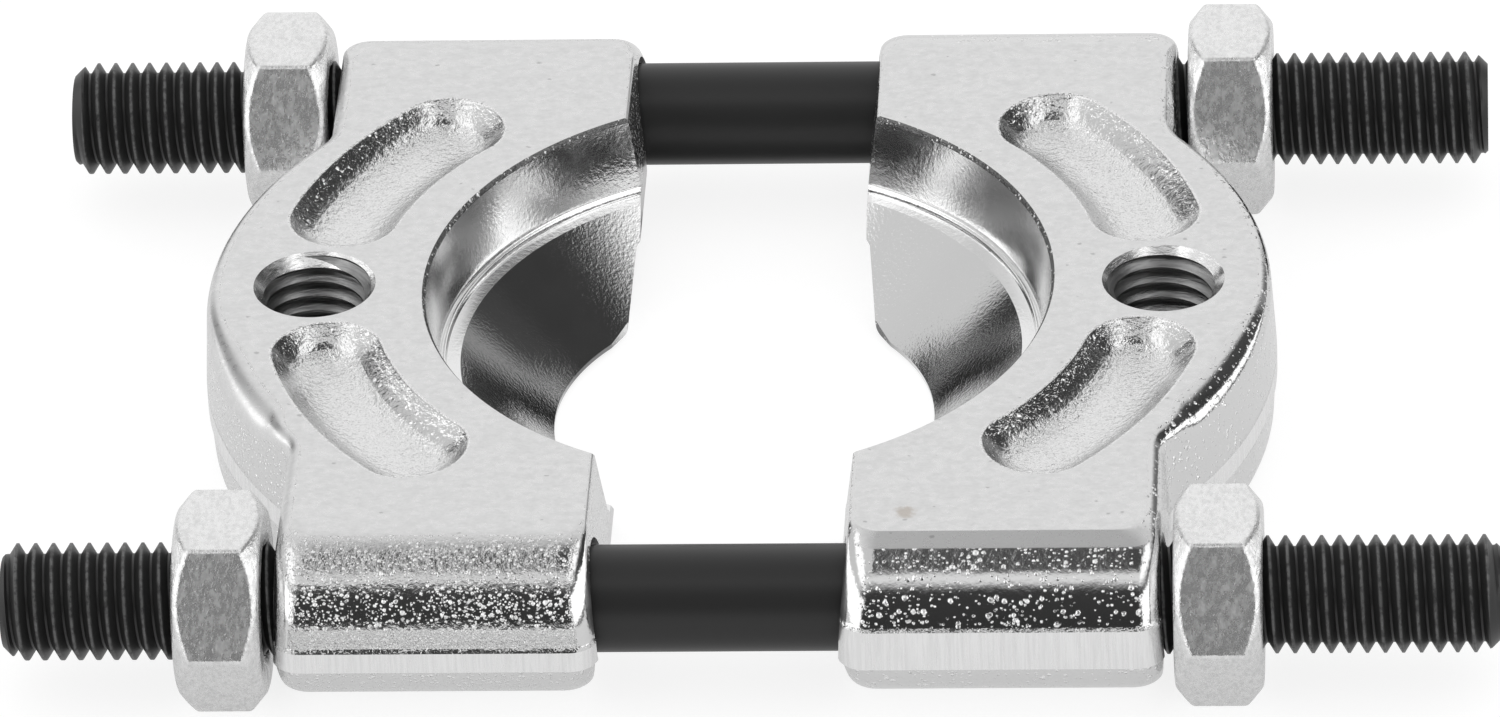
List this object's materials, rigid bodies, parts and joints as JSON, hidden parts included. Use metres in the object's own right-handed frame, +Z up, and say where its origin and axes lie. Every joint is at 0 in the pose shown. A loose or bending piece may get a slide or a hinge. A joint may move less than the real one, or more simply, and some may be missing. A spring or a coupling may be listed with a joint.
{
  "type": "bearing separator",
  "caption": "Bearing separator: a pair of forged half-jaws with knife edges, drawn together behind a bearing by nuts on threaded studs.",
  "frame": {"origin": "on the floor under the middle of the studs, midway between them", "axes": "+X along the studs to the right, +Y to the back stud, +Z up out of the jaws' ground faces"},
  "size_m": [0.1258, 0.0954, 0.0162],
  "materials": {
    "plated_forging": "bright plated forging, ground top face",
    "black_oxide_steel": "black oxide, satin",
    "zinc_plated_steel": "zinc plated, satin"
  },
  "bodies": {
    "studs": {"stud_front": "black_oxide_steel", "stud_back": "black_oxide_steel"},
    "jaw_left": {"jaw_left": "plated_forging"},
    "jaw_right": {"jaw_right": "plated_forging"},
    "nut_front_left": {"nut_front_left": "zinc_plated_steel"},
    "nut_front_right": {"nut_front_right": "zinc_plated_steel"},
    "nut_back_left": {"nut_back_left": "zinc_plated_steel"},
    "nut_back_right": {"nut_back_right": "zinc_plated_steel"}
  },
  "joints": [
    {"name": "jaw_left_slide", "type": "slide", "parent": "studs", "child": "jaw_left", "axis": [1, 0, 0], "range_m": [-0.0135, 0.00975]},
    {"name": "jaw_right_slide", "type": "slide", "parent": "studs", "child": "jaw_right", "axis": [-1, 0, 0], "range_m": [-0.018, 0.00975]},
    {"name": "nut_front_left_spin", "type": "hinge", "parent": "jaw_left", "child": "nut_front_left", "pos_m": [-0.0437, -0.0383, 0.00813], "axis": [1, 0, 0], "range_deg": [-3241, 2341]},
    {"name": "nut_back_left_spin", "type": "hinge", "parent": "jaw_left", "child": "nut_back_left", "pos_m": [-0.0437, 0.0383, 0.00813], "axis": [1, 0, 0], "range_deg": [-3241, 2341]},
    {"name": "nut_front_right_spin", "type": "hinge", "parent": "jaw_right", "child": "nut_front_right", "pos_m": [0.0395, -0.0383, 0.00813], "axis": [-1, 0, 0], "range_deg": [-4321, 2341]},
    {"name": "nut_back_right_spin", "type": "hinge", "parent": "jaw_right", "child": "nut_back_right", "pos_m": [0.0395, 0.0383, 0.00813], "axis": [-1, 0, 0], "range_deg": [-4321, 2341]}
  ],
  "couplings": [
    {"joint": "nut_front_left_spin", "follows": "jaw_left_slide", "rad_per_m": 4188.8},
    {"joint": "nut_back_left_spin", "follows": "jaw_left_slide", "rad_per_m": 4188.8},
    {"joint": "nut_front_right_spin", "follows": "jaw_right_slide", "rad_per_m": 4188.8},
    {"joint": "nut_back_right_spin", "follows": "jaw_right_slide", "rad_per_m": 4188.8}
  ]
}
